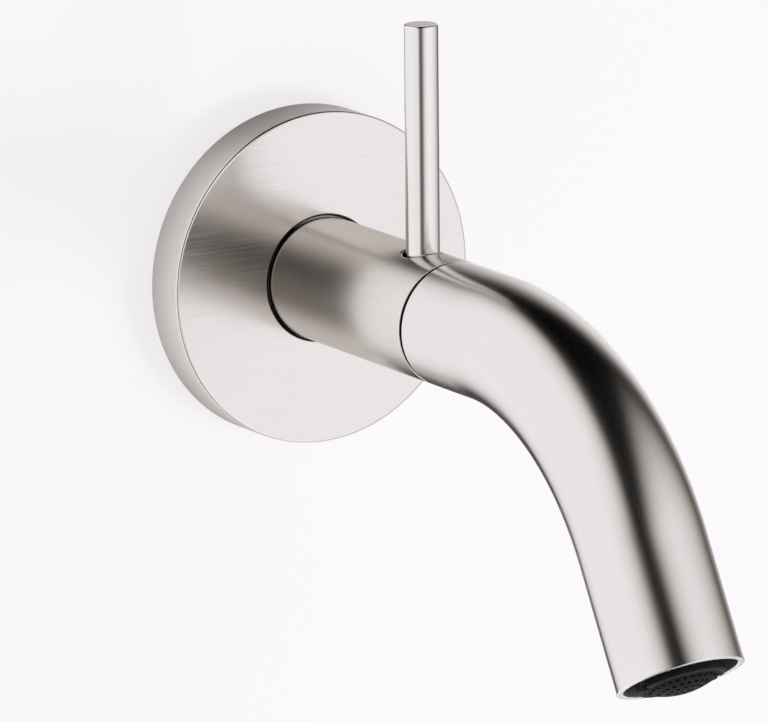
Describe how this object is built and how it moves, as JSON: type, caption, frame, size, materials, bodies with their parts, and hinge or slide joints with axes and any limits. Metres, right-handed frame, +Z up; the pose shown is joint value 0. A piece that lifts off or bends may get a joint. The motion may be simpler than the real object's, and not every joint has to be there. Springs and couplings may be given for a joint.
{
  "type": "wall-mounted tap",
  "caption": "Wall-mounted single-lever tap: round wall flange, turning sleeve with an upright pin lever, and a round tube spout bent down to an aerator.",
  "frame": {"origin": "centre of the tap's axis on the wall face, behind the flange", "axes": "+Y into the wall, -Y out along the body, +Z up along the lever, +X to the right for someone who faces the wall"},
  "size_m": [0.1, 0.2941, 0.1732],
  "materials": {
    "brushed_shell": "brushed, satin, warm grey",
    "brushed_lever": "brushed along its length, satin",
    "foam": "matt closed-cell foam",
    "seal_rubber": "matt black",
    "zinc_steel": "dull zinc plate",
    "stainless_screw": "bright steel",
    "brass": "machined, unplated",
    "brass_dark": "blackened inside the mouth",
    "copper_tail": "drawn tube",
    "cartridge_plastic": "moulded, matt",
    "ceramic": "lapped white ceramic",
    "glide_plastic": "moulded, low friction",
    "black_plastic": "moulded, satin black"
  },
  "bodies": {
    "fixed_body": {"wall_flange": "brushed_shell", "spout_tube": "brushed_shell", "wall_gasket": "foam", "flange_o_ring": "seal_rubber", "wall_plate": "zinc_steel", "wall_screws": "stainless_screw", "body_screws": "stainless_screw", "valve_body": "brass", "hot_tail": "copper_tail", "cold_tail": "copper_tail", "tail_o_rings": "seal_rubber", "inlet_strainers": "stainless_screw", "cartridge_body": "cartridge_plastic", "cartridge_seals": "seal_rubber", "fixed_disc": "ceramic", "cartridge_nut": "brass", "rear_glide_ring": "glide_plastic", "front_glide_ring": "glide_plastic", "front_plug": "brass", "plug_o_ring": "seal_rubber", "spout_bush": "brass", "spigot_o_rings": "seal_rubber", "spout_grub_screw": "stainless_screw", "aerator_bush": "brass_dark", "aerator_housing": "black_plastic", "aerator_face": "black_plastic", "aerator_mixer": "glide_plastic", "aerator_seal": "seal_rubber"},
    "turning_group": {"control_sleeve": "brushed_shell", "lever": "brushed_lever", "lever_hub": "brass", "hub_screw": "stainless_screw", "cartridge_spindle": "brass", "spindle_o_ring": "seal_rubber", "moving_disc": "ceramic"}
  },
  "joints": [
    {"name": "lever_turn", "type": "hinge", "parent": "fixed_body", "child": "turning_group", "pos_m": [0, -0.07175, 0], "axis": [0, -1, 0], "range_deg": [0, 100]}
  ]
}
